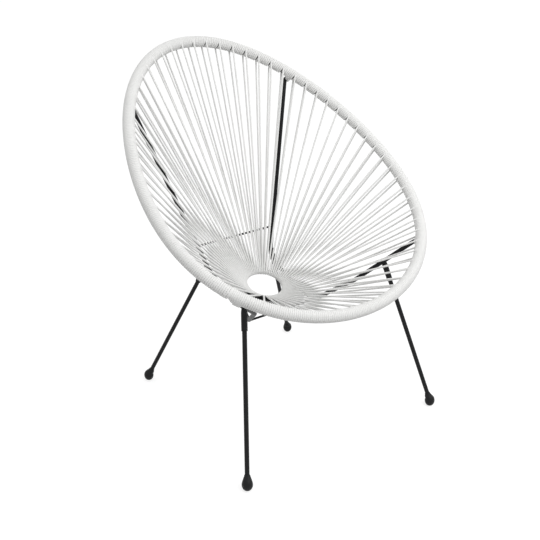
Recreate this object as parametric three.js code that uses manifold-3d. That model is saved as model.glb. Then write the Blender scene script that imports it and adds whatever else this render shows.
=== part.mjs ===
import * as THREE from 'three';
import { mergeVertices } from 'three/addons/utils/BufferGeometryUtils.js';
import Module from 'manifold-3d';

// A lounge chair: an egg-shaped seat of radial cords strung between a wrapped rim and a small
// centre ring, carried by two bent bows, two cross rods and four straight legs with ball feet.
// Millimetres, +Z up, the sitter faces -Y.

// Rim: one closed tube in a tilted plane. Its outline is a sum of three harmonics, measured in
// the plane across the chair and up the slope.
const rimCentreHeight = 606.5;
const rimPitchDegrees = 35.07;
const rimHalfWidth = 355.1;
const rimWidthSecond = 2.83;
const rimWidthThird = 8.15;
const rimHalfLength = 419.9;
const rimLengthSecond = 36.5;
const rimLengthThird = 12.8;
const rimTubeDiameter = 20;

// Stations: the net's equal steps, numbered round from the top towards +X. They run ahead of
// equal steps along the rim by a share of one step, and by a swing that peaks partway round.
const stationCount = 66;
const stationShiftShare = -0.596;
const stationSwingShare = 0.36;
const stationSwingPeakShare = 0.1709;

// Cord: the real cord, and how much slimmer each modelled strand is, so that strands stay clear.
const cordDiameter = 4.45;
const strandEase = 0.55;
const panelCount = 22;
const strandStationShare = 0.5;
const strandLead = 1.5;
const seatGap = 0.3;

// Centre ring: its radius follows from the cord loops that fill its hole side by side.
const ringTubeDiameter = 11;
const ringCentreHeight = 301.5;
const ringCentreBack = 52.95;
const ringPitchDegrees = 19.7;

// Bows: each is one bent rod, lapped behind the rim at both ends and wrapped there with it. A
// hook's share is how far down its own side of the rim it lies, out of all the stations.
const bowDiameter = 11;
const bowLap = 16.2;
const bowHookRadius = 12;
const bowKneeRadius = 45;
const bowRunRadius = 80;
const bowFrontRadius = 35;
const bowShoulderRadius = 60;
const bowKneeHalfSpan = 95.7;
const bowKneeBack = 107.7;
const bowKneeRise = 18.2;
const bowRunHalfSpan = 89.1;
const bowRunForward = 31.4;
const bowRunDrop = 24.9;
const bowFrontHalfSpan = 104;
const bowFrontForward = 76;
const bowFrontDrop = 41.7;
const bowShoulderShares = [0.286, 0.536, 0.415];
const rearRightHookShare = 0.1195;
const rearLeftHookShare = 0.1155;
const frontRightHookShare = 0.3757;
const frontLeftHookShare = 0.3574;
const hookStandOff = 12.5;
const tailInset = 8;
const bulgeHookInset = 3;
const bulgeTailReach = 4.45;
const jointClearance = 1.5;

// Cross rods between the bows, and the legs.
const rodDiameter = 5.5;
const frontRodShare = 0.155;
const rearRodShare = 0.826;
const frontRodDrop = 2.4;
const legDiameter = 11;
const frontLegShare = 0.461;
const rearLegSetback = 26.6;
const frontFootHalfSpan = 289;
const frontFootForward = 280.35;
const rearFootHalfSpan = 240.7;
const rearFootBack = 270.55;

// Leg sockets: a sleeve on each bow that the leg slides into.
const socketDiameter = 14.4;
const socketLength = 53;
const socketBoreDepth = 33;
const socketTaperLength = 12;
const socketTipDiameter = 10.4;

// Ball feet.
const footDiameter = 25.6;
const footCentreHeight = 13.4;
const footFlatDiameter = 12;
const footNeckDiameter = 22;
const footNeckLength = 21.5;
const footNeckTipDiameter = 13.6;

// Facets.
const rimSides = 8;
const sleeveSides = 10;
const strandSides = 5;
const ringSides = 8;
const ringSegments = 36;
const rodSides = 10;
const roomSides = 8;
const bendStepDegrees = 18;
const hookStepDegrees = 30;
const loopSteps = 4;
const bendRoomShare = 0.96;
const footSides = 12;
const footBands = 5;
const arcSamples = 2640;
const bulgeRimPoints = 7;
const bulgeTailPoints = 4;

// Cutting tools run past what they cut by this much.
const overrun = 5;

// Colours.
const cordColour = 0xe8e7e2;
const metalColour = 0x1b1c1e;
const cordRoughness = 0.55;
const metalRoughness = 0.42;
const metalMetalness = 0.35;

const radians = THREE.MathUtils.degToRad;
const across = new THREE.Vector3(1, 0, 0);
const up = new THREE.Vector3(0, 0, 1);
const bendStep = radians(bendStepDegrees);
const hookStep = radians(hookStepDegrees);
const fullTurn = 2 * Math.PI;

const wasm = await Module();
wasm.setup();

// A closed geometry as a solid, and back.
function solidOf(geometry) {
  const bare = geometry.clone();
  bare.deleteAttribute('normal');
  bare.deleteAttribute('uv');
  const merged = mergeVertices(bare);
  const vertProperties = new Float32Array(merged.attributes.position.array);
  const triVerts = new Uint32Array(merged.index.array);
  return new wasm.Manifold(new wasm.Mesh({ numProp: 3, vertProperties, triVerts }));
}

function geometryOf(solid) {
  const mesh = solid.getMesh();
  const points = new Float32Array(mesh.numVert * 3);
  for (let i = 0; i < mesh.numVert; i += 1) {
    points.set(mesh.vertProperties.subarray(i * mesh.numProp, i * mesh.numProp + 3), i * 3);
  }
  const geometry = new THREE.BufferGeometry();
  geometry.setAttribute('position', new THREE.BufferAttribute(points, 3));
  geometry.setIndex(new THREE.BufferAttribute(new Uint32Array(mesh.triVerts), 1));
  geometry.computeVertexNormals();
  return geometry;
}

// A path given by its own points: an extrusion along it has one ring at each of them.
class PointPath extends THREE.Curve {
  constructor(points) {
    super();
    this.points = points;
  }

  indexAt(share) {
    return Math.round(share * (this.points.length - 1));
  }

  getPoint(share, target = new THREE.Vector3()) {
    return target.copy(this.points[this.indexAt(share)]);
  }

  getPointAt(share, target) {
    return this.getPoint(share, target);
  }

  getTangent(share, target = new THREE.Vector3()) {
    const i = this.indexAt(share);
    const here = this.points[i];
    const before = this.points[Math.max(i - 1, 0)];
    const after = this.points[Math.min(i + 1, this.points.length - 1)];
    const arriving = here.clone().sub(before).normalize();
    const leaving = after.clone().sub(here).normalize();
    return target.copy(arriving).add(leaving).normalize();
  }

  getTangentAt(share, target) {
    return this.getTangent(share, target);
  }
}

function polygon(radius, sides) {
  const points = [];
  for (let i = 0; i < sides; i += 1) {
    const angle = fullTurn * i / sides;
    points.push(new THREE.Vector2(radius * Math.cos(angle), radius * Math.sin(angle)));
  }
  return new THREE.Shape(points);
}

function tubeAlong(points, radius, sides) {
  const extrudePath = new PointPath(points);
  return new THREE.ExtrudeGeometry(polygon(radius, sides), { steps: points.length - 1, extrudePath });
}

// Radius of a polygon whose flats stay outside a circle.
function circumscribed(radius, sides) {
  return radius / Math.cos(Math.PI / sides);
}

// A line of corners with each inner corner rounded to its own radius.
function rounded(corners, radii) {
  const points = [corners[0].clone()];
  for (let i = 1; i < corners.length - 1; i += 1) {
    const corner = corners[i];
    const arriving = corner.clone().sub(corners[i - 1]).normalize();
    const leaving = corners[i + 1].clone().sub(corner).normalize();
    const turn = arriving.angleTo(leaving);
    const room = Math.min(corner.distanceTo(corners[i - 1]), corner.distanceTo(corners[i + 1]));
    const radius = Math.min(radii[i - 1], room * bendRoomShare / Math.tan(turn / 2));
    const start = corner.clone().addScaledVector(arriving, -radius * Math.tan(turn / 2));
    const inward = leaving.clone().addScaledVector(arriving, -leaving.dot(arriving)).normalize();
    const sharp = i === 1 || i === corners.length - 2;
    const steps = Math.max(1, Math.ceil(turn / (sharp ? hookStep : bendStep)));
    for (let j = 0; j <= steps; j += 1) {
      const angle = turn * j / steps;
      const point = start.clone().addScaledVector(arriving, radius * Math.sin(angle));
      points.push(point.addScaledVector(inward, radius * (1 - Math.cos(angle))));
    }
  }
  points.push(corners[corners.length - 1].clone());
  return points;
}

// The rim's outline, its plane and its stations.
const rimPitch = radians(rimPitchDegrees);
const rimUpSlope = new THREE.Vector3(0, Math.cos(rimPitch), Math.sin(rimPitch));
const rimBehind = new THREE.Vector3(0, Math.sin(rimPitch), -Math.cos(rimPitch));

class RimOutline extends THREE.Curve {
  getPoint(share, target = new THREE.Vector3()) {
    const angle = fullTurn * share;
    const wide = rimHalfWidth * Math.sin(angle) - rimWidthSecond * Math.sin(2 * angle)
      + rimWidthThird * Math.sin(3 * angle);
    const long = rimHalfLength * Math.cos(angle) + rimLengthSecond * Math.cos(2 * angle)
      + rimLengthThird * Math.cos(3 * angle);
    target.set(0, 0, rimCentreHeight).addScaledVector(across, wide);
    return target.addScaledVector(rimUpSlope, long);
  }
}

const rimOutline = new RimOutline();
rimOutline.arcLengthDivisions = arcSamples;
const rimLength = rimOutline.getLength();
const stationStep = rimLength / stationCount;

// Corners of the rim's chain of straight links, one at each whole station.
const rimCorners = [];
for (let k = 0; k < stationCount; k += 1) {
  const swing = Math.cos(fullTurn * (k / stationCount - stationSwingPeakShare));
  const place = k + stationShiftShare + stationSwingShare * swing;
  rimCorners.push(rimOutline.getPointAt(wrapped(place) / stationCount));
}

function wrapped(k) {
  return ((k % stationCount) + stationCount) % stationCount;
}

// The chain's point at a station that may be fractional, and its direction there.
function rimAt(station) {
  const whole = Math.floor(station);
  const here = rimCorners[wrapped(whole)];
  const next = rimCorners[wrapped(whole + 1)];
  return here.clone().lerp(next, station - whole);
}

function rimDirection(station) {
  const whole = Math.floor(station);
  const here = rimCorners[wrapped(whole)];
  const link = rimCorners[wrapped(whole + 1)].clone().sub(here).normalize();
  if (station > whole) {
    return link;
  }
  const before = here.clone().sub(rimCorners[wrapped(whole - 1)]).normalize();
  return link.add(before).normalize();
}

// A cross section of the rim's neighbourhood: points given outward and behind the rim's axis.
// At a corner of the chain the section is widened so that the flats of both links stay true.
function rimRing(station, outline) {
  const centre = rimAt(station);
  const direction = rimDirection(station);
  const outward = new THREE.Vector3().crossVectors(direction, rimBehind).normalize();
  const link = rimAt(Math.floor(station) + 1).sub(rimAt(Math.floor(station))).normalize();
  const mitre = direction.dot(link);
  return outline.map(([out, behind]) => centre.clone()
    .addScaledVector(outward, out / mitre)
    .addScaledVector(rimBehind, behind));
}

function circleOutline(radius, sides) {
  const outline = [];
  for (let i = 0; i < sides; i += 1) {
    const angle = fullTurn * (i + 0.5) / sides;
    outline.push([radius * Math.cos(angle), radius * Math.sin(angle)]);
  }
  return outline;
}

// A closed body through rings of points, with flat ends.
function loft(rings) {
  const count = rings[0].length;
  const positions = [];
  rings.forEach((ring) => ring.forEach((point) => positions.push(point.x, point.y, point.z)));
  const index = [];
  for (let i = 0; i < rings.length - 1; i += 1) {
    for (let j = 0; j < count; j += 1) {
      const next = (j + 1) % count;
      const a = i * count + j;
      const b = i * count + next;
      index.push(a, b, b + count, a, b + count, a + count);
    }
  }
  const last = (rings.length - 1) * count;
  for (let j = 1; j < count - 1; j += 1) {
    index.push(0, j + 1, j, last, last + j, last + j + 1);
  }
  const first = new THREE.Vector3();
  const second = new THREE.Vector3();
  const third = new THREE.Vector3();
  let volume = 0;
  for (let i = 0; i < index.length; i += 3) {
    first.fromArray(positions, index[i] * 3);
    second.fromArray(positions, index[i + 1] * 3);
    third.fromArray(positions, index[i + 2] * 3);
    volume += first.dot(second.cross(third));
  }
  const geometry = new THREE.BufferGeometry();
  geometry.setAttribute('position', new THREE.BufferAttribute(new Float32Array(positions), 3));
  geometry.setIndex(volume < 0 ? index.reverse() : index);
  return geometry;
}

const rimRadius = rimTubeDiameter / 2;
const sleeveRadius = rimRadius + cordDiameter;
const sleeveBore = rimRadius + circumscribed(seatGap, rimSides);

// Rim tube: a torus whose rings are moved onto the rim's stations.
function rimTubeGeometry() {
  const geometry = new THREE.TorusGeometry(rimHalfWidth, rimRadius, rimSides, stationCount);
  const outline = circleOutline(rimRadius, rimSides);
  const position = geometry.attributes.position;
  const uv = geometry.attributes.uv;
  for (let i = 0; i < position.count; i += 1) {
    const station = wrapped(Math.round(uv.getX(i) * stationCount));
    const side = Math.round(uv.getY(i) * rimSides) % rimSides;
    const point = rimRing(station, outline)[side];
    position.setXYZ(i, point.x, point.y, point.z);
  }
  const solid = solidOf(geometry);
  return geometryOf(solid.volume() < 0 ? solidOf(flipped(geometry)) : solid);
}

function flipped(geometry) {
  const copy = geometry.clone();
  copy.setIndex(Array.from(copy.index.array).reverse());
  return copy;
}

// Centre ring. The loops' least radius about its centre is what the cords can pack into.
const strandRadius = (cordDiameter - strandEase) / 2;
const strandPitch = cordDiameter;
const loopRadius = ringTubeDiameter / 2 + seatGap + strandRadius;
const loopCorner = circumscribed(loopRadius, 2 * loopSteps);
const ringRadius = stationCount * strandPitch / fullTurn + loopCorner;
const ringPitch = radians(ringPitchDegrees);
const ringUpSlope = new THREE.Vector3(0, Math.cos(ringPitch), Math.sin(ringPitch));
const ringCentre = new THREE.Vector3(0, ringCentreBack, ringCentreHeight);

function ringAt(station) {
  const angle = fullTurn * (station + stationShiftShare) / stationCount;
  return ringCentre.clone()
    .addScaledVector(across, ringRadius * Math.sin(angle))
    .addScaledVector(ringUpSlope, ringRadius * Math.cos(angle));
}

function ringDirection(station) {
  const angle = fullTurn * (station + stationShiftShare) / stationCount;
  return new THREE.Vector3().addScaledVector(across, Math.cos(angle))
    .addScaledVector(ringUpSlope, -Math.sin(angle));
}

// One station's cord as one strand: from the rim's front down to the ring, round the ring's hole
// side, and back up to the rim's rear face a cord's width away along it.
const strandOffset = rimRadius + cordDiameter / 2;

function squareTo(direction, line) {
  const square = new THREE.Vector3().crossVectors(direction, line).normalize();
  return square.z < 0 ? square.negate() : square;
}

// The hooks of the bows on the rim. A bow's tail runs on from its hook in the way of its sense.
const hooks = {
  right: {
    sense: 1,
    rear: rearRightHookShare * stationCount,
    front: frontRightHookShare * stationCount,
  },
  left: {
    sense: -1,
    rear: stationCount - rearLeftHookShare * stationCount,
    front: stationCount - frontLeftHookShare * stationCount,
  },
};
// A strand's two roots lie side by side along the rim, the rear one first.
const halfSpacing = cordDiameter / stationStep / 2;

function frontRoot(k) {
  return k + strandStationShare + halfSpacing;
}

// A strand's rear root keeps clear of a hook, on the side away from the tail.
function backRoot(k) {
  const root = k + strandStationShare - halfSpacing;
  const clear = hookStandOff / stationStep;
  for (const side of Object.values(hooks)) {
    for (const hook of [side.rear, side.front]) {
      if (Math.abs(root - hook) < clear) {
        return hook - side.sense * clear;
      }
    }
  }
  return root;
}

function strandPoints(k) {
  const station = k + strandStationShare;
  const frontStation = frontRoot(k);
  const backStation = backRoot(k);
  const ringPoint = ringAt(station);
  const frontRim = rimAt(frontStation);
  const backRim = rimAt(backStation);
  const inward = ringPoint.clone().sub(rimAt(station)).normalize();
  const over = squareTo(ringDirection(station), inward);
  const loop = [];
  for (let i = 0; i < loopSteps; i += 1) {
    const angle = Math.PI * (i + 0.5) / loopSteps;
    loop.push(ringPoint.clone()
      .addScaledVector(over, loopCorner * Math.cos(angle))
      .addScaledVector(inward, loopCorner * Math.sin(angle)));
  }
  const start = frontRim.clone()
    .addScaledVector(squareTo(rimDirection(frontStation), inward), strandOffset);
  const end = backRim.clone()
    .addScaledVector(squareTo(rimDirection(backStation), inward), -strandOffset);
  start.add(start.clone().sub(loop[0]).setLength(strandLead));
  end.add(end.clone().sub(loop[loopSteps - 1]).setLength(strandLead));
  return [start, ...loop, end];
}

const strands = [];
for (let k = 0; k < stationCount; k += 1) {
  strands.push(strandPoints(k));
}

// Bows. The right one is laid out corner by corner; the left one is its mirror image.
const bowRadius = bowDiameter / 2;

function lapped(station) {
  return rimAt(station).addScaledVector(rimBehind, bowLap);
}

function besideRing(halfSpan, back, rise) {
  return ringCentre.clone().add(new THREE.Vector3(halfSpan, back, rise));
}

// The root of strand k that a tail of this sense comes to first.
function nearRoot(k, sense) {
  return sense > 0 ? backRoot(k) : frontRoot(k);
}

// A tail ends short of the next strand along the rim.
function tailEnd(hook, sense) {
  let k = Math.floor(hook);
  while (sense * (nearRoot(k, sense) - hook) <= hookStandOff / stationStep) {
    k += sense;
  }
  return nearRoot(k, sense) - sense * tailInset / stationStep;
}

function onSide(side, point) {
  return point.clone().multiply(new THREE.Vector3(hooks[side].sense, 1, 1));
}

// The corners of one side's bow, by name and in order.
function bowCorners(side) {
  const { sense, rear, front } = hooks[side];
  const lowFront = onSide(side, besideRing(bowFrontHalfSpan, -bowFrontForward, -bowFrontDrop));
  const frontCorner = lapped(front);
  const reach = frontCorner.clone().sub(lowFront);
  return {
    rearTail: lapped(tailEnd(rear, sense)),
    rearCorner: lapped(rear),
    knee: onSide(side, besideRing(bowKneeHalfSpan, bowKneeBack, bowKneeRise)),
    run: onSide(side, besideRing(bowRunHalfSpan, -bowRunForward, -bowRunDrop)),
    lowFront,
    shoulder: lowFront.clone().add(reach.multiply(new THREE.Vector3(...bowShoulderShares))),
    frontCorner,
    frontTail: lapped(tailEnd(front, sense)),
  };
}

const bowRadii = [
  bowHookRadius,
  bowKneeRadius,
  bowRunRadius,
  bowFrontRadius,
  bowShoulderRadius,
  bowHookRadius,
];
const corners = { left: bowCorners('left'), right: bowCorners('right') };
const bowLines = {
  left: rounded(Object.values(corners.left), bowRadii),
  right: rounded(Object.values(corners.right), bowRadii),
};

// The room a bow needs in its neighbours.
function bowRoomPoints(side) {
  const points = bowLines[side].map((point) => point.clone());
  const last = points.length - 1;
  const startAway = points[0].clone().sub(points[1]).setLength(seatGap);
  const endAway = points[last].clone().sub(points[last - 1]).setLength(seatGap);
  points[0].add(startAway);
  points[last].add(endAway);
  return points;
}

const bowRoomRadius = circumscribed(bowRadius + seatGap, roomSides);
const bowSolids = {};
const bowRooms = {};
for (const side of ['left', 'right']) {
  bowSolids[side] = solidOf(tubeAlong(bowLines[side], bowRadius, rodSides));
  bowRooms[side] = solidOf(tubeAlong(bowRoomPoints(side), bowRoomRadius, roomSides));
}

// Cord panels: the wrapped sleeve over three stations of rim, with the strands that root there.
const stationsPerPanel = stationCount / panelCount;
const sleeveOutline = circleOutline(sleeveRadius, sleeveSides);
const boreOutline = circleOutline(sleeveBore, rimSides);

// The sleeve's rings between two joints, each end moved outward by the reach.
function sleeveRings(first, last, outline, reach) {
  const stations = [first];
  for (let station = Math.floor(first) + 1; station < last; station += 1) {
    stations.push(station);
  }
  stations.push(last);
  const rings = stations.map((station) => rimRing(station, outline));
  const points = stations.map(rimAt);
  const firstLink = points[1].clone().sub(points[0]).normalize();
  const lastLink = points.at(-1).clone().sub(points.at(-2)).normalize();
  rings[0].forEach((point) => point.addScaledVector(firstLink, -reach));
  rings.at(-1).forEach((point) => point.addScaledVector(lastLink, reach));
  return rings;
}

// Where a bow's tail is wrapped with the rim, the wrap goes round both like a belt.
const bulgeRadius = bowRadius + seatGap + cordDiameter;
const beltAngle = Math.acos((sleeveRadius - bulgeRadius) / bowLap);

function beltOutline() {
  const outline = [];
  for (let i = 0; i < bulgeRimPoints; i += 1) {
    const angle = beltAngle + (fullTurn - 2 * beltAngle) * i / (bulgeRimPoints - 1);
    outline.push([sleeveRadius * Math.sin(angle), sleeveRadius * Math.cos(angle)]);
  }
  for (let i = 0; i < bulgeTailPoints; i += 1) {
    const angle = -beltAngle + 2 * beltAngle * i / (bulgeTailPoints - 1);
    outline.push([bulgeRadius * Math.sin(angle), bowLap + bulgeRadius * Math.cos(angle)]);
  }
  return outline;
}

function bulgeSolid(near, far) {
  const stations = [near, far];
  const middle = Math.round((near + far) / 2);
  if ((middle - near) * (middle - far) < 0) {
    stations.splice(1, 0, middle);
  }
  return solidOf(loft(stations.map((station) => rimRing(station, beltOutline()))));
}

const bulges = [];
for (const { sense, rear, front } of Object.values(hooks)) {
  for (const hook of [rear, front]) {
    const near = hook + sense * bulgeHookInset / stationStep;
    const far = tailEnd(hook, sense) + sense * bulgeTailReach / stationStep;
    bulges.push({ low: Math.min(near, far), high: Math.max(near, far), solid: bulgeSolid(near, far) });
  }
}

// Panels meet midway between two strands, or just beside a wrapped tail that lies there.
function jointAt(panel) {
  const joint = panel * stationsPerPanel;
  const clear = jointClearance / stationStep;
  const bulge = bulges.find(({ low, high }) => joint > low - clear && joint < high + clear);
  if (!bulge) {
    return joint;
  }
  return joint - bulge.low < bulge.high - joint ? bulge.low - clear : bulge.high + clear;
}

function panelSolid(panel) {
  const first = jointAt(panel);
  const last = jointAt(panel + 1);
  let solid = solidOf(loft(sleeveRings(first, last, sleeveOutline, -seatGap / 2)));
  for (const bulge of bulges) {
    if (bulge.low > first && bulge.high < last) {
      solid = solid.add(bulge.solid);
    }
  }
  for (let i = 0; i < stationsPerPanel; i += 1) {
    const strand = strands[panel * stationsPerPanel + i];
    solid = solid.add(solidOf(tubeAlong(strand, strandRadius, strandSides)));
  }
  solid = solid.subtract(solidOf(loft(sleeveRings(first, last, boreOutline, overrun))));
  for (const [side, { rear, front }] of Object.entries(hooks)) {
    if ([rear, front].some((hook) => Math.abs(hook - (first + last) / 2) < stationsPerPanel)) {
      solid = solid.subtract(bowRooms[side]);
    }
  }
  return solid;
}

// Legs run from the feet to the bows.
const legRadius = legDiameter / 2;
const frontFoot = new THREE.Vector3(frontFootHalfSpan, -frontFootForward, footCentreHeight);
const rearFoot = new THREE.Vector3(rearFootHalfSpan, rearFootBack, footCentreHeight);
const legBoreRadius = circumscribed(legRadius + seatGap, rodSides);

const chair = new THREE.Group();
const metal = { color: metalColour, roughness: metalRoughness, metalness: metalMetalness };
const cord = { color: cordColour, roughness: cordRoughness, metalness: 0 };

function addPiece(name, geometry, look) {
  const mesh = new THREE.Mesh(geometry, new THREE.MeshStandardMaterial(look));
  mesh.name = name;
  chair.add(mesh);
  return mesh;
}

function turnedUpTo(axis) {
  return new THREE.Quaternion().setFromUnitVectors(new THREE.Vector3(0, 1, 0), axis);
}

function turned(profile, sides, base, axis) {
  const points = profile.map(([radius, height]) => new THREE.Vector2(radius, height));
  const geometry = new THREE.LatheGeometry(points, sides);
  geometry.applyQuaternion(turnedUpTo(axis));
  geometry.translate(base.x, base.y, base.z);
  return solidOf(geometry);
}

function addLeg(name, foot, top, room) {
  const axis = top.clone().sub(foot).normalize();
  const reach = top.distanceTo(foot);
  const socketBase = foot.clone().addScaledVector(axis, reach - socketLength);
  const socketRadius = socketDiameter / 2;
  const socketProfile = [
    [0, socketBoreDepth],
    [legBoreRadius, socketBoreDepth],
    [legBoreRadius, 0],
    [socketRadius, 0],
    [socketRadius, socketLength - socketTaperLength],
    [socketTipDiameter / 2, socketLength],
    [0, socketLength],
  ];
  const socket = turned(socketProfile, rodSides, socketBase, axis).subtract(room);
  addPiece(`${name}_socket`, geometryOf(socket), metal);

  const legLength = reach - socketLength + socketBoreDepth - seatGap;
  const rod = new THREE.CylinderGeometry(legRadius, legRadius, legLength, rodSides);
  const leg = addPiece(`${name}_leg`, rod, metal);
  leg.position.copy(foot).addScaledVector(axis, legLength / 2);
  leg.quaternion.copy(turnedUpTo(axis));

  const footRadius = footDiameter / 2;
  const flatAngle = Math.acos(footFlatDiameter / footDiameter);
  const ballHalfHeight = footCentreHeight / Math.sin(flatAngle);
  const ballProfile = [[0, -footCentreHeight]];
  for (let i = 0; i < footBands; i += 1) {
    const angle = -flatAngle + 2 * flatAngle * i / (footBands - 1);
    ballProfile.push([footRadius * Math.cos(angle), ballHalfHeight * Math.sin(angle)]);
  }
  ballProfile.push([0, ballHalfHeight]);
  const neckProfile = [
    [0, 0],
    [footNeckDiameter / 2, 0],
    [footNeckTipDiameter / 2, footNeckLength],
    [0, footNeckLength],
  ];
  const bore = [[0, -seatGap], [legBoreRadius, -seatGap], [legBoreRadius, footNeckLength + overrun],
    [0, footNeckLength + overrun]];
  const ball = turned(ballProfile, footSides, foot, up)
    .add(turned(neckProfile, footSides, foot, axis))
    .subtract(turned(bore, rodSides, foot, axis));
  addPiece(`${name}_foot`, geometryOf(ball), metal);
}

function addRod(name, leftEnd, rightEnd) {
  const rodRadius = rodDiameter / 2;
  const axis = rightEnd.clone().sub(leftEnd);
  const geometry = new THREE.CylinderGeometry(rodRadius, rodRadius, axis.length(), rodSides);
  const middle = leftEnd.clone().lerp(rightEnd, 0.5);
  geometry.applyQuaternion(turnedUpTo(axis.normalize()));
  geometry.translate(middle.x, middle.y, middle.z);
  const rod = solidOf(geometry).subtract(bowRooms.left).subtract(bowRooms.right);
  addPiece(name, geometryOf(rod), metal);
}

for (let panel = 0; panel < panelCount; panel += 1) {
  const number = String(panel + 1).padStart(2, '0');
  addPiece(`cord_panel_${number}`, geometryOf(panelSolid(panel)), cord);
}
addPiece('rim_tube', rimTubeGeometry(), metal);

const ring = addPiece(
  'centre_ring',
  new THREE.TorusGeometry(ringRadius, ringTubeDiameter / 2, ringSides, ringSegments),
  metal,
);
ring.position.copy(ringCentre);
ring.rotation.x = ringPitch;

addPiece('left_bow', geometryOf(bowSolids.left), metal);
addPiece('right_bow', geometryOf(bowSolids.right), metal);

const rodEnds = {};
for (const [side, bow] of Object.entries(corners)) {
  const frontEnd = bow.lowFront.clone().lerp(bow.shoulder, frontRodShare);
  rodEnds[side] = {
    front: frontEnd.addScaledVector(up, -frontRodDrop),
    rear: bow.rearCorner.clone().lerp(bow.knee, rearRodShare),
  };
  const frontTop = bow.shoulder.clone().lerp(bow.frontCorner, frontLegShare);
  const upFromKnee = bow.rearCorner.clone().sub(bow.knee).setLength(rearLegSetback);
  addLeg(`front_${side}`, onSide(side, frontFoot), frontTop, bowRooms[side]);
  addLeg(`rear_${side}`, onSide(side, rearFoot), bow.knee.clone().add(upFromKnee), bowRooms[side]);
}
addRod('front_cross_rod', rodEnds.left.front, rodEnds.right.front);
addRod('rear_cross_rod', rodEnds.left.rear, rodEnds.right.rear);

// Least gaps: strand to strand, and strand to bow, measured between their centre lines.
function segmentGap(a, b, c, d) {
  const first = new THREE.Line3(a, b);
  const second = new THREE.Line3(c, d);
  return Math.sqrt(first.distanceSqToLine3(second));
}

function pathGap(one, other) {
  let least = Infinity;
  for (let i = 0; i < one.length - 1; i += 1) {
    for (let j = 0; j < other.length - 1; j += 1) {
      least = Math.min(least, segmentGap(one[i], one[i + 1], other[j], other[j + 1]));
    }
  }
  return least;
}

let strandGap = Infinity;
let bowGap = Infinity;
strands.forEach((strand, k) => {
  const next = strands[(k + 1) % stationCount];
  strandGap = Math.min(strandGap, pathGap(strand, next) - 2 * strandRadius);
  for (const points of Object.values(bowLines)) {
    bowGap = Math.min(bowGap, pathGap(strand, points) - strandRadius - bowRadius);
  }
});
console.log(`least gap between strands ${strandGap.toFixed(2)} mm, strand to bow ${bowGap.toFixed(2)} mm`);

// The origin sits on the floor under the middle of the chair.
const bounds = new THREE.Box3().setFromObject(chair);
const middle = bounds.getCenter(new THREE.Vector3());
chair.position.set(-middle.x, -middle.y, 0);

export default chair;
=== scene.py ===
from math import acos, atan2, ceil, cos, floor, pi, radians, sin, sqrt, tan

import bpy
import numpy as np
from mathutils import Matrix, Vector


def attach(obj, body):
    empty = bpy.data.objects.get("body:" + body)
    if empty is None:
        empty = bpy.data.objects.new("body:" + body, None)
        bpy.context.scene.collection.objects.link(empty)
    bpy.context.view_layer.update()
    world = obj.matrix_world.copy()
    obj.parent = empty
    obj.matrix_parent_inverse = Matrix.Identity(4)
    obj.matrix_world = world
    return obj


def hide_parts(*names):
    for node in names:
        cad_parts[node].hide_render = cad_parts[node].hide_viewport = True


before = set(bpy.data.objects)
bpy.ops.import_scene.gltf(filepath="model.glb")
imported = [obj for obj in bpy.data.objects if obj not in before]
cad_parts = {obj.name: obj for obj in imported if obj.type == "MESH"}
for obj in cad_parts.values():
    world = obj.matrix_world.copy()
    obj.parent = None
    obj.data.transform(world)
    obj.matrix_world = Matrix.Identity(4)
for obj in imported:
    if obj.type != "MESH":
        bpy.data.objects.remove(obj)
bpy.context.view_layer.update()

MM_PER_METRE = 1000
FULL_TURN = 2 * pi
QUARTER_TURN = pi / 2
ACROSS = np.array([1.0, 0.0, 0.0])
BACKWARD = np.array([0.0, 1.0, 0.0])
UPWARD = np.array([0.0, 0.0, 1.0])

# Sizes in millimetres, the same as in the part's source. Its origin is moved by CAD_SIDE and CAD_BACK.
CAD_SIDE = -0.097
CAD_BACK = 29.657
RIM_HEIGHT = 606.5
RIM_PITCH = radians(35.07)
RIM_WIDE = (355.1, -2.83, 8.15)
RIM_LONG = (419.9, 36.5, 12.8)
RIM_RADIUS = 10.0
CORD = 4.45
STRAND_STATION = 0.5
PANELS = 22
STATIONS = 66
STATION_SHIFT = -0.596
STATION_SWING = 0.36
STATION_SWING_PEAK = 0.1709
RING_TUBE = 5.5
RING_CENTRE = np.array([0.0, 52.95, 301.5])
RING_PITCH = radians(19.7)
RING_RADIUS = 55.1
BOW_RADIUS = 5.5
BOW_LAP = 16.2
BOW_CORNERS = {
    "knee": (95.7, 107.7, 18.2),
    "run": (89.1, -31.4, -24.9),
    "low_front": (104.0, -76.0, -41.7),
}
SHOULDER_SHARES = np.array([0.286, 0.536, 0.415])
BOW_RADII = (12.0, 45.0, 80.0, 35.0, 60.0, 12.0)
BEND_ROOM = 0.96
REAR_HOOKS = {"right": 0.1195 * STATIONS, "left": STATIONS - 0.1155 * STATIONS}
FRONT_HOOKS = {"right": 0.3757 * STATIONS, "left": STATIONS - 0.3574 * STATIONS}
SENSES = {"right": 1, "left": -1}
HOOK_STAND_OFF = 12.5
TAIL_INSET = 8.0
ROD_RADIUS = 2.75
FRONT_ROD_SHARE = 0.155
REAR_ROD_SHARE = 0.826
FRONT_ROD_DROP = 2.4
LEG_RADIUS = 5.5
FRONT_LEG_SHARE = 0.461
REAR_LEG_SETBACK = 26.6
FRONT_FOOT = np.array([289.0, -280.35, 13.4])
REAR_FOOT = np.array([240.7, 270.55, 13.4])
SOCKET_RADIUS = 7.2
SOCKET_LENGTH = 53.0
SOCKET_TAPER = 12.0
SOCKET_TIP = 5.2
FOOT_RADIUS = 12.8
FOOT_FLAT = 6.0
NECK_LENGTH = 21.5
NECK_TIP = 6.8

# How the cord is drawn, in millimetres. Its turns round the rim are pressed flat: they are wider
# than the cord, and their middles lie deeper by half of that.
DRAWN_CORD = 4.38
PRESSED_CORD = 5.0
TURNS_PER_STEP = 8
WRAP_EASE = 3.5
WRAP_START = 0.2
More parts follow.
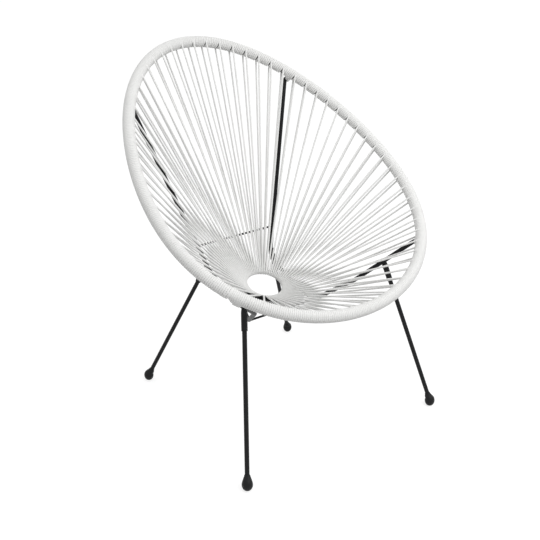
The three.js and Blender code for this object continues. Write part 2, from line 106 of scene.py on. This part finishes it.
# The same, without a unit: how much further turns spread on the rim's inside, within how many
# stations of a hook they make room for it, and over what part of the rim's back.
INNER_SPREAD = 1.1
HOOK_NEAR = 0.3
BACK_RANGE = (0.05, 0.6)

# Edges, ends and curves of the frame pieces, in millimetres and shares.
BOW_EDGE = 1.0
SOCKET_EDGE = 0.8
BORE_DEPTH = 2.0
BORE_SLACK = 0.1
BORE_TIGHT = 0.4
LEG_IN_SOCKET = 30.0
TAPER_CURVE = 1.35
TIP_CLOSE = 0.6
FLAT_EDGE = 0.9
NECK_ANGLE = 0.35
NECK_EASE = 0.55
NECK_LEAN = 0.6
NECK_RISE = 0.5
NECK_LIP = 0.6
NECK_GRIP = 0.3

# Facets and samples.
RIM_SAMPLES = 7920
LOOK_ALONG = 0.01
NEARLY_UPRIGHT = 0.9
BEND_STEP = radians(6.0)
LEAST_STEPS = 2
EDGE_STEPS = 4
CORD_SIDES = 8
TURN_STEPS = 16
PRESS_STEPS = 4
LOOP_STEPS = 12
HOOK_STEPS = 3
TUBE_SIDES = 20
RIM_SEGMENTS = 264
RING_SEGMENTS = 120
ROD_SIDES = 16
ROD_SEGMENTS = 24
LEG_SEGMENTS = 16
SLEEVE_SIDES = 32
TAPER_STEPS = 6
FOOT_SIDES = 36
BALL_STEPS = 12
NECK_STEPS = 12

# Materials.
WHITE = (1.0, 1.0, 1.0, 1.0)
NOISE_DETAIL = 2.0
NOISE_RANGE = (0.3, 0.7)
BUMP_DISTANCE = 0.0001
FLOOR_GREY = (0.4, 0.4, 0.4, 1.0)
FLOOR_ROUGHNESS = 0.9
FLOOR_GLOW = 0.71

# The camera of the photograph, the floor and the lamps, in metres.
CAMERA_AT = Vector((-1.0849, -1.49841, 1.1480))
CAMERA_YAW = 0.627
CAMERA_PITCH = 0.407
CAMERA_ROLL = -0.005
CAMERA_LENS = 52.9
CAMERA_SENSOR = 36.0
CAMERA_REACH = 100.0
FLOOR_REACH = 30.0
FLOOR_DROP = 0.0003
WORLD_LIGHT = 0.81
WORLD_SEEN = 1.0
LAMP_TARGET = Vector((0.0, 0.0, 0.5))


def metres(point):
    side, back, height = point
    return Vector((side - CAD_SIDE, back - CAD_BACK, height)) / MM_PER_METRE


def unit(v):
    return v / np.linalg.norm(v)


def mirrored(point, sense):
    return point * np.array([sense, 1.0, 1.0])


def smooth(low, high, value):
    x = max(0.0, min(1.0, (value - low) / (high - low)))
    return x * x * (3 - 2 * x)


# Camera.
def add_camera():
    level = cos(CAMERA_PITCH)
    forward = Vector((sin(CAMERA_YAW) * level, cos(CAMERA_YAW) * level, -sin(CAMERA_PITCH)))
    right = Vector((cos(CAMERA_YAW), -sin(CAMERA_YAW), 0.0))
    up = right.cross(forward)
    turned_right = right * cos(CAMERA_ROLL) + up * sin(CAMERA_ROLL)
    turned_up = turned_right.cross(forward)
    data = bpy.data.cameras.new("photo_camera")
    data.sensor_width = CAMERA_SENSOR
    data.lens = CAMERA_LENS
    data.clip_end = CAMERA_REACH
    camera = bpy.data.objects.new("photo_camera", data)
    matrix = Matrix((turned_right, turned_up, -forward)).transposed().to_4x4()
    matrix.translation = CAMERA_AT
    camera.matrix_world = matrix
    bpy.context.collection.objects.link(camera)
    bpy.context.scene.camera = camera


# The rim's outline by arc length, in stations.
UP_SLOPE = BACKWARD * cos(RIM_PITCH) + UPWARD * sin(RIM_PITCH)
BEHIND = BACKWARD * sin(RIM_PITCH) - UPWARD * cos(RIM_PITCH)


def rim_by_angle(t):
    t = np.asarray(t, dtype=float)
    wide = sum(a * np.sin((i + 1) * t) for i, a in enumerate(RIM_WIDE))
    long = sum(a * np.cos((i + 1) * t) for i, a in enumerate(RIM_LONG))
    points = np.multiply.outer(long, UP_SLOPE)
    points[..., 0] += wide
    points[..., 2] += RIM_HEIGHT
    return points


SAMPLE_ANGLES = np.linspace(0.0, FULL_TURN, RIM_SAMPLES + 1)
SAMPLE_STEPS = np.linalg.norm(np.diff(rim_by_angle(SAMPLE_ANGLES), axis=0), axis=1)
SAMPLE_LENGTHS = np.concatenate([[0.0], np.cumsum(SAMPLE_STEPS)])
RIM_LENGTH = SAMPLE_LENGTHS[-1]
STEP = RIM_LENGTH / STATIONS


def rim_at(station):
    station = np.asarray(station, dtype=float)
    swing = np.cos(FULL_TURN * (station / STATIONS - STATION_SWING_PEAK))
    s = np.mod((station + STATION_SHIFT + STATION_SWING * swing) * STEP, RIM_LENGTH)
    return rim_by_angle(np.interp(s, SAMPLE_LENGTHS, SAMPLE_ANGLES))


def rim_frame(station):
    """The rim's middle at a station, its direction there, and the way outward in its plane."""
    direction = unit(rim_at(station + LOOK_ALONG) - rim_at(station - LOOK_ALONG))
    return rim_at(station), direction, unit(np.cross(direction, BEHIND))


# The centre ring.
RING_UP = BACKWARD * cos(RING_PITCH) + UPWARD * sin(RING_PITCH)


def ring_at(station):
    angle = FULL_TURN * (station + STATION_SHIFT) / STATIONS
    return RING_CENTRE + RING_RADIUS * (sin(angle) * ACROSS + cos(angle) * RING_UP)


def ring_direction(station):
    angle = FULL_TURN * (station + STATION_SHIFT) / STATIONS
    return cos(angle) * ACROSS - sin(angle) * RING_UP


def square_to(direction, line):
    square = unit(np.cross(direction, line))
    return -square if square[2] < 0 else square


# Mesh helpers.
def mesh_object(name, vertices, faces):
    mesh = bpy.data.meshes.new(name)
    mesh.from_pydata([metres(v) for v in vertices], [], faces)
    mesh.validate()
    mesh.update()
    mesh.polygons.foreach_set("use_smooth", [True] * len(mesh.polygons))
    piece = bpy.data.objects.new(name, mesh)
    bpy.context.collection.objects.link(piece)
    return piece


def tube_rings(points, radii, sides, closed=False):
    """Rings of a round tube along points, turned as little as possible from ring to ring."""
    points = np.array(points)
    count = len(points)
    if closed:
        tangents = np.roll(points, -1, axis=0) - np.roll(points, 1, axis=0)
    else:
        tangents = np.vstack([points[1:], points[-1:]]) - np.vstack([points[:1], points[:-1]])
    tangents /= np.linalg.norm(tangents, axis=1)[:, None]
    start = UPWARD if abs(tangents[0][2]) < NEARLY_UPRIGHT else ACROSS
    normals = [unit(start - tangents[0] * start.dot(tangents[0]))]
    for tangent in tangents[1:]:
        normals.append(unit(normals[-1] - tangent * normals[-1].dot(tangent)))
    normals = np.array(normals)
    binormals = np.cross(tangents, normals)
    twist = np.zeros(count)
    if closed:
        last = unit(normals[-1] - tangents[0] * normals[-1].dot(tangents[0]))
        slip = atan2(last.dot(binormals[0]), last.dot(normals[0]))
        twist = -slip * np.arange(count) / count
    radii = np.broadcast_to(radii, count)
    rings = np.empty((count, sides, 3))
    for j in range(sides):
        turn = FULL_TURN * j / sides + twist
        along_normal = (radii * np.cos(turn))[:, None] * normals
        rings[:, j] = points + along_normal + (radii * np.sin(turn))[:, None] * binormals
    return rings


def ring_faces(count, sides, offset=0, closed=False):
    faces = []
    for i in range(count if closed else count - 1):
        here = offset + i * sides
        there = offset + ((i + 1) % count) * sides
        for j in range(sides):
            k = (j + 1) % sides
            faces.append((here + j, here + k, there + k, there + j))
    if not closed:
        faces.append(tuple(offset + j for j in reversed(range(sides))))
        faces.append(tuple(offset + (count - 1) * sides + j for j in range(sides)))
    return faces


def tube_object(name, points, radii, sides, closed=False):
    rings = tube_rings(points, radii, sides, closed)
    return mesh_object(name, rings.reshape(-1, 3), ring_faces(len(points), sides, 0, closed))


def circle(centre, x_axis, y_axis, radius, sides):
    angles = [FULL_TURN * j / sides for j in range(sides)]
    return [centre + radius * (cos(a) * x_axis + sin(a) * y_axis) for a in angles]


def rows_object(name, rows):
    """A closed body through rows of as many points each, from one end to the other."""
    vertices = [point for row in rows for point in row]
    return mesh_object(name, vertices, ring_faces(len(rows), len(rows[0])))


def rounded_edge(edge):
    """Pairs of how far a small rounded edge is drawn in, and how far along that is from the end."""
    angles = [QUARTER_TURN * i / EDGE_STEPS for i in range(EDGE_STEPS + 1)]
    return [(edge * (1 - sin(a)), edge * (1 - cos(a))) for a in angles]


def eased_ends(points, radius, edge):
    """A tube's points and radii with a small rounded edge at both ends."""
    first = unit(points[1] - points[0])
    last = unit(points[-1] - points[-2])
    pairs = rounded_edge(edge)
    head = [points[0] + first * along for _, along in pairs]
    tail = [points[-1] - last * along for _, along in reversed(pairs)]
    head_radii = [radius - inset for inset, _ in pairs]
    middle = points[1:-1]
    return head + middle + tail, head_radii + [radius] * len(middle) + head_radii[::-1]


def rounded(corners, radii):
    """Points along a line through corners, with each inner corner bent to its radius."""
    points = [corners[0]]
    for i in range(1, len(corners) - 1):
        corner = corners[i]
        arriving = unit(corner - corners[i - 1])
        leaving = unit(corners[i + 1] - corner)
        turn = acos(max(-1.0, min(1.0, arriving.dot(leaving))))
        room = min(np.linalg.norm(corner - corners[i - 1]), np.linalg.norm(corner - corners[i + 1]))
        radius = min(radii[i - 1], room * BEND_ROOM / tan(turn / 2))
        start = corner - arriving * radius * tan(turn / 2)
        inward = unit(leaving - arriving * leaving.dot(arriving))
        steps = max(LEAST_STEPS, ceil(turn / BEND_STEP))
        for j in range(steps + 1):
            a = turn * j / steps
            points.append(start + arriving * radius * sin(a) + inward * radius * (1 - cos(a)))
    points.append(corners[-1])
    return points


# Materials.
def new_material(name):
    material = bpy.data.materials.new(name)
    material.use_nodes = True
    tree = material.node_tree
    tree.nodes.clear()
    output = tree.nodes.new("ShaderNodeOutputMaterial")
    shader = tree.nodes.new("ShaderNodeBsdfPrincipled")
    tree.links.new(shader.outputs["BSDF"], output.inputs["Surface"])
    return material, tree, shader


def noise(tree, scale):
    coordinates = tree.nodes.new("ShaderNodeTexCoord")
    texture = tree.nodes.new("ShaderNodeTexNoise")
    texture.inputs["Scale"].default_value = scale
    texture.inputs["Detail"].default_value = NOISE_DETAIL
    tree.links.new(coordinates.outputs["Object"], texture.inputs["Vector"])
    return texture.outputs["Fac"]


def ramp(tree, source, colours):
    node = tree.nodes.new("ShaderNodeValToRGB")
    for element, position, colour in zip(node.color_ramp.elements, NOISE_RANGE, colours):
        element.position = position
        element.color = (*colour, 1.0)
    tree.links.new(source, node.inputs["Fac"])
    return node.outputs["Color"]


def span(tree, source, values):
    node = tree.nodes.new("ShaderNodeMapRange")
    for side, low, high in zip(("Min", "Max"), NOISE_RANGE, values):
        node.inputs["From " + side].default_value = low
        node.inputs["To " + side].default_value = high
    tree.links.new(source, node.inputs["Value"])
    return node.outputs["Result"]


def bump(tree, shader, source, strength):
    node = tree.nodes.new("ShaderNodeBump")
    node.inputs["Strength"].default_value = strength
    node.inputs["Distance"].default_value = BUMP_DISTANCE
    tree.links.new(source, node.inputs["Height"])
    tree.links.new(node.outputs["Normal"], shader.inputs["Normal"])


def surface(name, colours, colour_scale, roughness, rough_scale, gloss, grain, grain_scale):
    material, tree, shader = new_material(name)
    tree.links.new(ramp(tree, noise(tree, colour_scale), colours), shader.inputs["Base Color"])
    tree.links.new(span(tree, noise(tree, rough_scale), roughness), shader.inputs["Roughness"])
    shader.inputs["Specular IOR Level"].default_value = gloss
    bump(tree, shader, noise(tree, grain_scale), grain)
    return material


def cord_material():
    return surface(
        "cord_plastic", colours=((0.80, 0.80, 0.79), (0.825, 0.825, 0.815)), colour_scale=24.0,
        roughness=(0.40, 0.46), rough_scale=60.0, gloss=0.42, grain=0.03, grain_scale=400.0)


def metal_material():
    return surface(
        "frame_powder_coat", colours=((0.008, 0.0082, 0.009), (0.012, 0.0122, 0.013)), colour_scale=60.0,
        roughness=(0.38, 0.46), rough_scale=220.0, gloss=0.16, grain=0.12, grain_scale=1500.0)


def foot_material():
    return surface(
        "foot_plastic", colours=((0.010, 0.0102, 0.011), (0.014, 0.0142, 0.015)), colour_scale=90.0,
        roughness=(0.38, 0.52), rough_scale=300.0, gloss=0.17, grain=0.15, grain_scale=1900.0)


def background_share(tree):
    """One for the rays that show the background: straight ones, reflections and glass."""
    light_path = tree.nodes.new("ShaderNodeLightPath")
    share = light_path.outputs["Is Camera Ray"]
    for name in ("Is Glossy Ray", "Is Transmission Ray"):
        larger = tree.nodes.new("ShaderNodeMath")
        larger.operation = "MAXIMUM"
        tree.links.new(share, larger.inputs[0])
        tree.links.new(light_path.outputs[name], larger.inputs[1])
        share = larger.outputs["Value"]
    return share


def floor_material():
    material, tree, shader = new_material("studio_floor")
    shader.inputs["Base Color"].default_value = FLOOR_GREY
    shader.inputs["Roughness"].default_value = FLOOR_ROUGHNESS
    shader.inputs["Specular IOR Level"].default_value = 0.0
    seen = tree.nodes.new("ShaderNodeMath")
    seen.operation = "MULTIPLY"
    seen.inputs[1].default_value = FLOOR_GLOW
    tree.links.new(background_share(tree), seen.inputs[0])
    shader.inputs["Emission Color"].default_value = WHITE
    tree.links.new(seen.outputs["Value"], shader.inputs["Emission Strength"])
    return material


def dressed(piece, material, slot, *nodes):
    piece.data.materials.append(material)
    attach(piece, "root")
    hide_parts(*nodes)


# Cord: straight strands between rim and ring, and close turns round the rim between them.
HOOKS = [(hooks[side], sense) for side, sense in SENSES.items() for hooks in (REAR_HOOKS, FRONT_HOOKS)]
WIND_RADIUS = RIM_RADIUS + CORD / 2
TAIL_WIND_RADIUS = BOW_RADIUS + CORD / 2
HALF_SPACING = CORD / STEP / 2
SPREAD = (CORD - DRAWN_CORD / 2) / STEP
HOOK_CLEAR = TAIL_WIND_RADIUS / STEP
STAND_OFF = HOOK_STAND_OFF / STEP


def front_root(k):
    return k + STRAND_STATION + HALF_SPACING


def plain_back_root(k):
    return k + STRAND_STATION - HALF_SPACING


def back_root(k):
    """Where strand k's rear end meets the rim: clear of every hook."""
    root = plain_back_root(k)
    for hook, sense in HOOKS:
        if abs(root - hook) < STAND_OFF:
            return hook - sense * STAND_OFF
    return root


def moved_root(k):
    """Whether strand k's rear root stands off from a hook."""
    return back_root(k) != plain_back_root(k)


def near_root(k, sense):
    """The root of strand k that a tail of this sense comes to first."""
    return back_root(k) if sense > 0 else front_root(k)


def tail_end(hook, sense):
    k = floor(hook)
    while sense * (near_root(k, sense) - hook) <= STAND_OFF:
        k += sense
    return near_root(k, sense) - sense * TAIL_INSET / STEP


def wind_reach(angle):
    """Distance from the rim's axis of a cord wound round the rim and a bow's tail together."""
    lean = QUARTER_TURN - acos((WIND_RADIUS - TAIL_WIND_RADIUS) / BOW_LAP)
    side = angle if cos(angle) >= 0 else pi - angle
    side = (side + pi) % FULL_TURN - pi
    if side <= lean:
        return WIND_RADIUS
    touch = atan2(BOW_LAP + TAIL_WIND_RADIUS * sin(lean), TAIL_WIND_RADIUS * cos(lean))
    if side <= touch:
        return WIND_RADIUS / cos(side - lean)
    root = TAIL_WIND_RADIUS ** 2 - (BOW_LAP * cos(side)) ** 2
    return BOW_LAP * sin(side) + sqrt(max(root, 0.0))


def tail_share(station):
    """How far the wrap at a station goes round a bow's tail as well: nought to one."""
    best = 0.0
    ease = WRAP_EASE / STEP
    start = WRAP_START * ease
    for hook, sense in HOOKS:
        past_hook = sense * (station - hook)
        past_end = sense * (station - tail_end(hook, sense))
        best = max(best, min(smooth(-start, start, past_hook), 1 - smooth(start, ease, past_end)))
    return best


def pushed(station, first, last):
    """Where a turn between two stations passes the rim's back: clear of a hook's leg."""
    low, high = first, last
    for hook, _ in HOOKS:
        if first - HOOK_NEAR < hook < last + HOOK_NEAR:
            if hook - first > last - hook:
                high = min(high, hook - HOOK_CLEAR)
            else:
                low = max(low, hook + HOOK_CLEAR)
    return low + (high - low) * (station - first) / (last - first)


def spread(station, angle, first, last):
    """Turns lie close on the outside of the rim: the ones beside a strand move towards it."""
    angle = (angle + QUARTER_TURN) % FULL_TURN - QUARTER_TURN
    share = (station - first) / (last - first)
    upper = abs(angle - QUARTER_TURN) / pi
    reach = SPREAD * (1 + INNER_SPREAD * smooth(0.0, 1.0, -cos(angle)))
    return station + reach * (upper * share - (1 - upper) * (1 - share))


def wind_point(station, angle, first, last, sink=0.0):
    """A point of a turn round the rim: angle nought is outward, a quarter turn the rim's back."""
    place = spread(station, angle, first, last)
    place += smooth(*BACK_RANGE, sin(angle)) * (pushed(station, first, last) - station)
    centre, _, outward = rim_frame(place)
    reach = WIND_RADIUS + tail_share(place) * (wind_reach(angle) - WIND_RADIUS)
    return centre + (reach - sink) * (cos(angle) * outward + sin(angle) * BEHIND)


def angle_of(direction, station):
    outward = rim_frame(station)[2]
    return atan2(direction.dot(BEHIND), direction.dot(outward))


def strand_line(k):
    """Strand k from the rim's front round the ring to the rim's back, with its angles there."""
    station = k + STRAND_STATION
    front, back = front_root(k), back_root(k)
    ring_point = ring_at(station)
    inward = unit(ring_point - rim_at(station))
    over = square_to(ring_direction(station), inward)
    front_side = square_to(rim_frame(front)[1], inward)
    back_side = square_to(rim_frame(back)[1], inward)
    loop_radius = RING_TUBE + CORD / 2
    points = [rim_at(front) + front_side * WIND_RADIUS]
    for i in range(LOOP_STEPS + 1):
        a = pi * i / LOOP_STEPS
        points.append(ring_point + loop_radius * (over * cos(a) + inward * sin(a)))
    points.append(rim_at(back) - back_side * WIND_RADIUS)
    return points, angle_of(front_side, front), angle_of(-back_side, back)


def winding(first, last, first_angle, last_angle):
    """Close turns from one station back to a lower one: each point with the cord's radius there.

    The angle falls: back, outside, front, inside. The turns are pressed flat, but not at the ends.
    """
    part = ((first_angle - last_angle) % FULL_TURN) / FULL_TURN
    turns = max(0, round((first - last + SPREAD) * TURNS_PER_STEP - part)) + part
    steps = max(LEAST_STEPS, round(turns * TURN_STEPS))
    points = []
    for i in range(steps + 1):
        share = i / steps
        pressed = smooth(0.0, PRESS_STEPS, i) * smooth(0.0, PRESS_STEPS, steps - i)
        width = DRAWN_CORD + pressed * (PRESSED_CORD - DRAWN_CORD)
        sink = max(0.0, width - CORD) / 2
        place = first + (last - first) * share
        angle = first_angle - FULL_TURN * turns * share
        points.append((wind_point(place, angle, last, first, sink), width / 2))
    return points


def cord_runs():
    """The cord's middle lines, each point with its radius. A run ends where it meets a hook."""
    radius = DRAWN_CORD / 2
    lines = [strand_line(k) for k in range(STATIONS)]
    start = next(k for k in range(STATIONS) if moved_root(k))
    runs = []
    run = []
    for n in range(STATIONS):
        k = (start - n) % STATIONS
        points, front_angle, back_angle = lines[k]
        next_angle = lines[(k - 1) % STATIONS][1]
        run += [(point, radius) for point in points]
        root = back_root(k)
        if moved_root(k):
            for i in range(1, HOOK_STEPS + 1):
                angle = back_angle - FULL_TURN * i / TURN_STEPS
                run.append((wind_point(root, angle, root - 1, root + 1), radius))
            runs.append(run)
            first = front_root(k) - radius / STEP
            run = winding(first, front_root(k - 1), front_angle + pi, next_angle)[:-1]
        else:
            run += winding(root, front_root(k - 1), back_angle, next_angle)[1:-1]
    runs[0] = run + runs[0]
    return runs


def add_cord(material):
    vertices, faces = [], []
    for run in cord_runs():
        points, radii = zip(*run)
        rings = tube_rings(points, radii, CORD_SIDES)
        faces += ring_faces(len(run), CORD_SIDES, len(vertices))
        vertices += list(rings.reshape(-1, 3))
    panels = ["cord_panel_%02d" % i for i in range(1, PANELS + 1)]
    dressed(mesh_object("seat_cord", vertices, faces), material, "cord", *panels)


# Frame pieces.
def lapped(station):
    return rim_at(station) + BEHIND * BOW_LAP


def bow_corners(side, sense):
    place = {name: mirrored(RING_CENTRE + offset, sense) for name, offset in BOW_CORNERS.items()}
    front_corner = lapped(FRONT_HOOKS[side])
    return {
        "rear_tail": lapped(tail_end(REAR_HOOKS[side], sense)),
        "rear_corner": lapped(REAR_HOOKS[side]),
        "knee": place["knee"],
        "run": place["run"],
        "low_front": place["low_front"],
        "shoulder": place["low_front"] + (front_corner - place["low_front"]) * SHOULDER_SHARES,
        "front_corner": front_corner,
        "front_tail": lapped(tail_end(FRONT_HOOKS[side], sense)),
    }


def add_frame(metal, plastic):
    rim = [rim_at(STATIONS * i / RIM_SEGMENTS) for i in range(RIM_SEGMENTS)]
    rim_tube = tube_object("rim_tube_smooth", rim, RIM_RADIUS, TUBE_SIDES, closed=True)
    dressed(rim_tube, metal, "frame", "rim_tube")
    ring = [ring_at(STATIONS * i / RING_SEGMENTS) for i in range(RING_SEGMENTS)]
    ring_tube = tube_object("ring_smooth", ring, RING_TUBE, TUBE_SIDES, closed=True)
    dressed(ring_tube, metal, "frame", "centre_ring")
    front_ends, rear_ends = [], []
    for side, sense in SENSES.items():
        corners = bow_corners(side, sense)
        points, radii = eased_ends(rounded(list(corners.values()), BOW_RADII), BOW_RADIUS, BOW_EDGE)
        bow = tube_object("bow_" + side, points, radii, TUBE_SIDES)
        dressed(bow, metal, "frame", side + "_bow")
        low_front, shoulder, front_corner = (corners[n] for n in ("low_front", "shoulder", "front_corner"))
        knee, rear_corner = corners["knee"], corners["rear_corner"]
        front_end = low_front + (shoulder - low_front) * FRONT_ROD_SHARE
        front_ends.append(front_end - UPWARD * FRONT_ROD_DROP)
        rear_ends.append(rear_corner + (knee - rear_corner) * REAR_ROD_SHARE)
        front_top = shoulder + (front_corner - shoulder) * FRONT_LEG_SHARE
        rear_top = knee + unit(rear_corner - knee) * REAR_LEG_SETBACK
        add_leg("front_" + side, mirrored(FRONT_FOOT, sense), front_top, metal, plastic)
        add_leg("rear_" + side, mirrored(REAR_FOOT, sense), rear_top, metal, plastic)
    for end, (first, last) in (("front", front_ends), ("rear", rear_ends)):
        line = [first + (last - first) * i / ROD_SEGMENTS for i in range(ROD_SEGMENTS + 1)]
        rod = tube_object("rod_" + end, line, ROD_RADIUS, ROD_SIDES)
        dressed(rod, metal, "frame", end + "_cross_rod")


def add_leg(name, foot, top, metal, plastic):
    axis = unit(top - foot)
    base = top - axis * SOCKET_LENGTH
    leg_end = base + axis * LEG_IN_SOCKET
    line = [foot + (leg_end - foot) * i / LEG_SEGMENTS for i in range(LEG_SEGMENTS + 1)]
    dressed(tube_object(name + "_rod", line, LEG_RADIUS, TUBE_SIDES), metal, "frame", name + "_leg")

    profile = [(LEG_RADIUS - BORE_TIGHT, BORE_DEPTH), (LEG_RADIUS + BORE_SLACK, 0.0)]
    profile += [(SOCKET_RADIUS - inset, along) for inset, along in rounded_edge(SOCKET_EDGE)]
    for i in range(TAPER_STEPS + 1):
        share = i / TAPER_STEPS
        radius = SOCKET_RADIUS + (SOCKET_TIP - SOCKET_RADIUS) * share ** TAPER_CURVE
        profile.append((radius, SOCKET_LENGTH - SOCKET_TAPER * (1 - share)))
    profile.append((SOCKET_TIP * TIP_CLOSE, SOCKET_LENGTH))
    side = unit(np.cross(axis, BACKWARD))
    other = np.cross(axis, side)
    rows = [circle(base + axis * along, side, other, radius, SLEEVE_SIDES) for radius, along in profile]
    dressed(rows_object(name + "_sleeve", rows), metal, "frame", name + "_socket")

    add_foot(name, foot, axis, plastic)


def add_foot(name, foot, axis, plastic):
    """A ball foot with a flat base, drawn out into a cone up the leg."""
    flat_angle = acos(FOOT_FLAT / FOOT_RADIUS)
    half_height = foot[2] / sin(flat_angle)
    base = foot - UPWARD * foot[2]
    rows = [circle(base, ACROSS, BACKWARD, FOOT_FLAT * FLAT_EDGE, FOOT_SIDES)]
    for i in range(BALL_STEPS + 1):
        angle = -flat_angle + (flat_angle + NECK_ANGLE) * i / BALL_STEPS
        centre = foot + UPWARD * half_height * sin(angle)
        rows.append(circle(centre, ACROSS, BACKWARD, FOOT_RADIUS * cos(angle), FOOT_SIDES))

    side = unit(np.cross(BACKWARD, axis))
    other = np.cross(axis, side)
    last_radius = FOOT_RADIUS * cos(NECK_ANGLE)
    last_height = half_height * sin(NECK_ANGLE)
    for i in range(1, NECK_STEPS + 1):
        share = i / NECK_STEPS
        height = last_height + (NECK_LENGTH - last_height) * share
        drawn_in = NECK_EASE * smooth(0.0, 1.0, share) + (1 - NECK_EASE) * share
        radius = last_radius + (NECK_TIP - last_radius) * drawn_in
        lean = smooth(0.0, NECK_LEAN, share)
        centre = foot + (UPWARD * (1 - lean) + axis * lean) * height
        level = circle(0.0, ACROSS, BACKWARD, 1 - lean, FOOT_SIDES)
        tilted = circle(0.0, side, other, lean, FOOT_SIDES)
        rows.append([centre + unit(a + b) * radius for a, b in zip(level, tilted)])
    top = foot + axis * (NECK_LENGTH + NECK_RISE)
    for radius in (NECK_TIP - NECK_LIP, LEG_RADIUS - NECK_GRIP):
        rows.append(circle(top, side, other, radius, FOOT_SIDES))
    dressed(rows_object(name + "_ball", rows), plastic, "feet", name + "_foot")


# Floor, world and lamps.
def add_stage():
    mesh = bpy.data.meshes.new("studio_floor")
    corners = [(x * FLOOR_REACH, y * FLOOR_REACH, 0) for x, y in ((-1, -1), (1, -1), (1, 1), (-1, 1))]
    mesh.from_pydata(corners, [], [(0, 1, 2, 3)])
    ground = bpy.data.objects.new("studio_floor", mesh)
    ground.location.z = -FLOOR_DROP
    bpy.context.collection.objects.link(ground)
    ground.data.materials.append(floor_material())

    world = bpy.data.worlds.new("studio")
    bpy.context.scene.world = world
    world.use_nodes = True
    tree = world.node_tree
    tree.nodes.clear()
    output = tree.nodes.new("ShaderNodeOutputWorld")
    mix = tree.nodes.new("ShaderNodeMixShader")
    tree.links.new(background_share(tree), mix.inputs["Fac"])
    for socket, strength in ((1, WORLD_LIGHT), (2, WORLD_SEEN)):
        background = tree.nodes.new("ShaderNodeBackground")
        background.inputs["Color"].default_value = WHITE
        background.inputs["Strength"].default_value = strength
        tree.links.new(background.outputs["Background"], mix.inputs[socket])
    tree.links.new(mix.outputs["Shader"], output.inputs["Surface"])

    add_lamp("key", place=Vector((0.7, -2.0, 2.3)), size=2.2, power=33.0)
    add_lamp("fill", place=Vector((2.4, 0.4, 1.8)), size=2.0, power=3.0)


def add_lamp(name, place, size, power):
    data = bpy.data.lights.new(name, "AREA")
    data.size = size
    data.energy = power
    lamp = bpy.data.objects.new(name, data)
    lamp.location = place
    lamp.rotation_euler = (LAMP_TARGET - place).to_track_quat("-Z", "Y").to_euler()
    bpy.context.collection.objects.link(lamp)


bpy.context.scene.view_settings.view_transform = "Standard"
add_camera()
add_stage()
metal = metal_material()
add_cord(cord_material())
add_frame(metal, foot_material())
